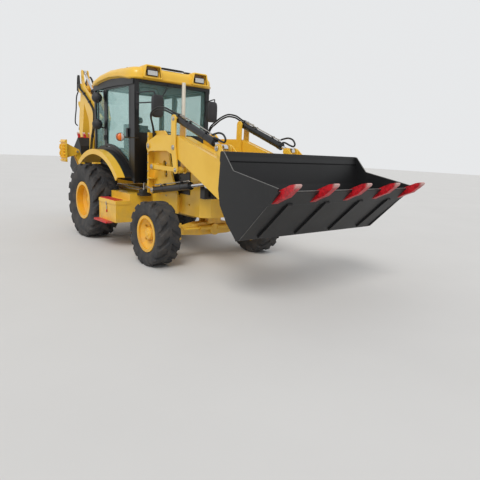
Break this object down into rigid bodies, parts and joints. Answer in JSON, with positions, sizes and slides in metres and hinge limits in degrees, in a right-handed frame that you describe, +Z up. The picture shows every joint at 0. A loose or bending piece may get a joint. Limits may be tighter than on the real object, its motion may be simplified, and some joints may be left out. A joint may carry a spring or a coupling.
{
  "type": "backhoe loader",
  "caption": "Wheeled tractor with a front loader bucket and a rear digging arm, opening cab doors, steered front wheels and fold-down stabilizers.",
  "frame": {"origin": "on the ground, under the middle of the machine's length and width", "axes": "+X forward, +Y the machine's left, +Z up"},
  "size_m": [8.432, 2.33, 3.3519],
  "materials": {
    "yellow_paint": "glossy",
    "rim_paint": "glossy",
    "black_paint": "satin",
    "cast_parts": "matte",
    "exhaust_metal": "satin",
    "rod_chrome": "polished",
    "tyre_rubber": "matte",
    "lamp_lens": "glossy",
    "seat_plastic": "matte",
    "window_glass": "clear"
  },
  "bodies": {
    "machine": {"chassis": "yellow_paint", "loader_towers": "yellow_paint", "rear_frame": "yellow_paint", "rear_axle": "cast_parts", "front_axle": "cast_parts", "engine": "cast_parts", "hood": "yellow_paint", "grille": "black_paint", "exhaust": "exhaust_metal", "side_boxes": "yellow_paint", "fenders": "yellow_paint", "cab_frame": "black_paint", "roof": "yellow_paint", "lamps": "lamp_lens", "windows": "window_glass", "seat_and_console": "seat_plastic", "mirrors": "black_paint"},
    "door_right": {"door_right": "black_paint", "door_glass_right": "window_glass"},
    "rear_wheel_right": {"rear_tyre_right": "tyre_rubber", "rear_rim_right": "rim_paint"},
    "front_wheel_right": {"front_tyre_right": "tyre_rubber", "front_rim_right": "rim_paint"},
    "knuckle_right": {"knuckle_right": "cast_parts"},
    "stabilizer_right": {"stabilizer_right": "yellow_paint"},
    "leg_barrel_right": {"leg_barrel_right": "black_paint"},
    "leg_rod_right": {"leg_rod_right": "rod_chrome"},
    "door_left": {"door_left": "black_paint", "door_glass_left": "window_glass"},
    "rear_wheel_left": {"rear_tyre_left": "tyre_rubber", "rear_rim_left": "rim_paint"},
    "front_wheel_left": {"front_tyre_left": "tyre_rubber", "front_rim_left": "rim_paint"},
    "knuckle_left": {"knuckle_left": "cast_parts"},
    "stabilizer_left": {"stabilizer_left": "yellow_paint"},
    "leg_barrel_left": {"leg_barrel_left": "black_paint"},
    "leg_rod_left": {"leg_rod_left": "rod_chrome"},
    "arms": {"loader_arms": "yellow_paint"},
    "levers": {"rear_levers": "yellow_paint"},
    "level_links": {"level_links": "yellow_paint"},
    "lift_barrels": {"lift_barrels": "black_paint"},
    "lift_rods": {"lift_rods": "rod_chrome"},
    "tilt_barrels": {"tilt_barrels": "black_paint"},
    "tilt_rods": {"tilt_rods": "rod_chrome"},
    "tip_levers": {"tip_levers": "yellow_paint"},
    "tip_links": {"tip_links": "yellow_paint"},
    "bucket": {"loader_bucket": "black_paint"},
    "swing_post": {"swing_post": "yellow_paint"},
    "boom": {"boom": "yellow_paint"},
    "boom_barrel": {"boom_barrel": "black_paint"},
    "boom_rod": {"boom_rod": "rod_chrome"},
    "stick": {"stick": "yellow_paint"},
    "stick_barrel": {"stick_barrel": "black_paint"},
    "stick_rod": {"stick_rod": "rod_chrome"},
    "hoe_bucket": {"hoe_bucket": "black_paint"},
    "guides": {"hoe_guides": "yellow_paint"},
    "hoe_link": {"hoe_link": "yellow_paint"},
    "hoe_barrel": {"hoe_barrel": "black_paint"},
    "hoe_rod": {"hoe_rod": "rod_chrome"}
  },
  "joints": [
    {"name": "rear_wheel_right_spin", "type": "hinge", "parent": "machine", "child": "rear_wheel_right", "pos_m": [-1.164, -0.868, 0.665], "axis": [0, 1, 0], "continuous": true},
    {"name": "rear_wheel_left_spin", "type": "hinge", "parent": "machine", "child": "rear_wheel_left", "pos_m": [-1.164, 0.868, 0.665], "axis": [0, 1, 0], "continuous": true},
    {"name": "steer_right", "type": "hinge", "parent": "machine", "child": "knuckle_right", "pos_m": [1.35, -0.69, 0.46], "axis": [0, 0, 1], "range_deg": [-30, 30]},
    {"name": "steer_left", "type": "hinge", "parent": "machine", "child": "knuckle_left", "pos_m": [1.35, 0.69, 0.46], "axis": [0, 0, 1], "range_deg": [-30.02, 30.02]},
    {"name": "front_wheel_right_spin", "type": "hinge", "parent": "knuckle_right", "child": "front_wheel_right", "pos_m": [1.35, -0.968, 0.46], "axis": [0, 1, 0], "continuous": true},
    {"name": "front_wheel_left_spin", "type": "hinge", "parent": "knuckle_left", "child": "front_wheel_left", "pos_m": [1.35, 0.968, 0.46], "axis": [0, 1, 0], "continuous": true},
    {"name": "door_right_hinge", "type": "hinge", "parent": "machine", "child": "door_right", "pos_m": [-0.924, -0.7343, 2], "axis": [0, 0, -1], "range_deg": [0, 90]},
    {"name": "door_left_hinge", "type": "hinge", "parent": "machine", "child": "door_left", "pos_m": [-0.924, 0.7343, 2], "axis": [0, 0, 1], "range_deg": [0, 90]},
    {"name": "lift", "type": "hinge", "parent": "machine", "child": "arms", "pos_m": [0.576, 0, 1.69], "axis": [0, -1, 0], "range_deg": [-17, 55]},
    {"name": "lever_hinge", "type": "hinge", "parent": "arms", "child": "levers", "pos_m": [1.346, 0, 1.68], "axis": [0, -1, 0], "range_deg": [-55.02, 17.02]},
    {"name": "level_link_hinge", "type": "hinge", "parent": "machine", "child": "level_links", "pos_m": [0.646, 0, 1.375], "axis": [0, -1, 0], "range_deg": [-17.02, 55.02]},
    {"name": "lift_barrel_hinge", "type": "hinge", "parent": "machine", "child": "lift_barrels", "pos_m": [0.656, 0, 1.01], "axis": [0, -1, 0], "range_deg": [-14.69, 47.5]},
    {"name": "lift_rod_slide", "type": "slide", "parent": "lift_barrels", "child": "lift_rods", "axis": [0.9898, 0, 0.1424], "range_m": [-0.18054, 0.58299]},
    {"name": "tilt_barrel_hinge", "type": "hinge", "parent": "levers", "child": "tilt_barrels", "pos_m": [1.346, 0, 2.08], "axis": [0, -1, 0], "range_deg": [-18.38, 59.42]},
    {"name": "bucket_tip", "type": "hinge", "parent": "arms", "child": "bucket", "pos_m": [3.166, 0, 0.92], "axis": [0, 1, 0], "range_deg": [0, 100]},
    {"name": "tip_lever_hinge", "type": "hinge", "parent": "arms", "child": "tip_levers", "pos_m": [2.516, 0, 1.22], "axis": [0, 1, 0], "range_deg": [-0.02, 73.62]},
    {"name": "tip_link_hinge", "type": "hinge", "parent": "tip_levers", "child": "tip_links", "pos_m": [2.436, 0, 1.69], "axis": [0, 1, 0], "range_deg": [-73.62, 0.02]},
    {"name": "tilt_rod_slide", "type": "slide", "parent": "tilt_barrels", "child": "tilt_rods", "axis": [0.9415, 0, -0.3369], "range_m": [-0.0005, 0.5686]},
    {"name": "swing", "type": "hinge", "parent": "machine", "child": "swing_post", "pos_m": [-2.664, 0, 0.76], "axis": [0, 0, 1], "range_deg": [-85, 85]},
    {"name": "boom_lower", "type": "hinge", "parent": "swing_post", "child": "boom", "pos_m": [-3.114, 0, 1.02], "axis": [0, -1, 0], "range_deg": [0, 110]},
    {"name": "boom_barrel_hinge", "type": "hinge", "parent": "swing_post", "child": "boom_barrel", "pos_m": [-2.864, 0, 1.27], "axis": [0, -1, 0], "range_deg": [-0.02, 105.34]},
    {"name": "boom_rod_slide", "type": "slide", "parent": "boom_barrel", "child": "boom_rod", "axis": [-0.0241, 0, 0.9997], "range_m": [-0.0005, 0.573]},
    {"name": "stick_out", "type": "hinge", "parent": "boom", "child": "stick", "pos_m": [-3.664, 0, 2.93], "axis": [0, 1, 0], "range_deg": [0, 110]},
    {"name": "stick_barrel_hinge", "type": "hinge", "parent": "boom", "child": "stick_barrel", "pos_m": [-2.664, 0, 2.25], "axis": [0, -1, 0], "range_deg": [-0.02, 5.52]},
    {"name": "stick_rod_slide", "type": "slide", "parent": "stick_barrel", "child": "stick_rod", "axis": [-0.717, 0, 0.6971], "range_m": [-0.56916, 0.0005]},
    {"name": "hoe_bucket_open", "type": "hinge", "parent": "stick", "child": "hoe_bucket", "pos_m": [-3.914, 0, 1.42], "axis": [0, 1, 0], "range_deg": [0, 140]},
    {"name": "guide_hinge", "type": "hinge", "parent": "stick", "child": "guides", "pos_m": [-3.895, 0, 1.721], "axis": [0, 1, 0], "range_deg": [-0.02, 78]},
    {"name": "hoe_link_hinge", "type": "hinge", "parent": "guides", "child": "hoe_link", "pos_m": [-4.164, 0, 1.55], "axis": [0, 1, 0], "range_deg": [-75.9, 0.02]},
    {"name": "hoe_barrel_hinge", "type": "hinge", "parent": "stick", "child": "hoe_barrel", "pos_m": [-3.964, 0, 2.62], "axis": [0, 1, 0], "range_deg": [-0.02, 2.32]},
    {"name": "hoe_rod_slide", "type": "slide", "parent": "hoe_barrel", "child": "hoe_rod", "axis": [-0.1837, 0, -0.983], "range_m": [-0.40049, 0.0005]},
    {"name": "stabilizer_right_lower", "type": "hinge", "parent": "machine", "child": "stabilizer_right", "pos_m": [-2.164, -0.42, 0.55], "axis": [1, 0, 0], "range_deg": [0, 93]},
    {"name": "leg_barrel_right_hinge", "type": "hinge", "parent": "machine", "child": "leg_barrel_right", "pos_m": [-2.164, -0.08, 0.86], "axis": [1, 0, 0], "range_deg": [-0.02, 54.92]},
    {"name": "leg_rod_right_slide", "type": "slide", "parent": "leg_barrel_right", "child": "leg_rod_right", "axis": [0, -0.9257, 0.3783], "range_m": [-0.0005, 0.4269]},
    {"name": "stabilizer_left_lower", "type": "hinge", "parent": "machine", "child": "stabilizer_left", "pos_m": [-2.164, 0.42, 0.55], "axis": [-1, 0, 0], "range_deg": [0, 93]},
    {"name": "leg_barrel_left_hinge", "type": "hinge", "parent": "machine", "child": "leg_barrel_left", "pos_m": [-2.164, 0.08, 0.86], "axis": [-1, 0, 0], "range_deg": [-0.02, 54.92]},
    {"name": "leg_rod_left_slide", "type": "slide", "parent": "leg_barrel_left", "child": "leg_rod_left", "axis": [0, 0.9257, 0.3783], "range_m": [-0.0005, 0.4269]}
  ],
  "couplings": [
    {"joint": "steer_left", "follows": "steer_right", "ratio": 1},
    {"joint": "lever_hinge", "follows": "lift", "ratio": -1},
    {"joint": "level_link_hinge", "follows": "lift", "ratio": 1},
    {"joint": "lift_barrel_hinge", "follows": "lift", "ratio": 0.8632},
    {"joint": "lift_rod_slide", "follows": "lift", "m_per_rad": 0.6068},
    {"joint": "tilt_barrel_hinge", "follows": "lift", "ratio": 1.08},
    {"joint": "tip_lever_hinge", "follows": "bucket_tip", "ratio": 0.736},
    {"joint": "tip_link_hinge", "follows": "bucket_tip", "ratio": -0.736},
    {"joint": "tilt_rod_slide", "follows": "bucket_tip", "m_per_rad": 0.3255},
    {"joint": "boom_barrel_hinge", "follows": "boom_lower", "ratio": 0.9575},
    {"joint": "boom_rod_slide", "follows": "boom_lower", "m_per_rad": 0.2982},
    {"joint": "stick_barrel_hinge", "follows": "stick_out", "ratio": 0.05},
    {"joint": "stick_rod_slide", "follows": "stick_out", "m_per_rad": -0.2962},
    {"joint": "guide_hinge", "follows": "hoe_bucket_open", "ratio": 0.557},
    {"joint": "hoe_link_hinge", "follows": "hoe_bucket_open", "ratio": -0.542},
    {"joint": "hoe_barrel_hinge", "follows": "hoe_bucket_open", "ratio": 0.0164},
    {"joint": "hoe_rod_slide", "follows": "hoe_bucket_open", "m_per_rad": -0.1637},
    {"joint": "leg_barrel_right_hinge", "follows": "stabilizer_right_lower", "ratio": 0.5903},
    {"joint": "leg_rod_right_slide", "follows": "stabilizer_right_lower", "m_per_rad": 0.2627},
    {"joint": "leg_barrel_left_hinge", "follows": "stabilizer_left_lower", "ratio": 0.5903},
    {"joint": "leg_rod_left_slide", "follows": "stabilizer_left_lower", "m_per_rad": 0.2627}
  ]
}
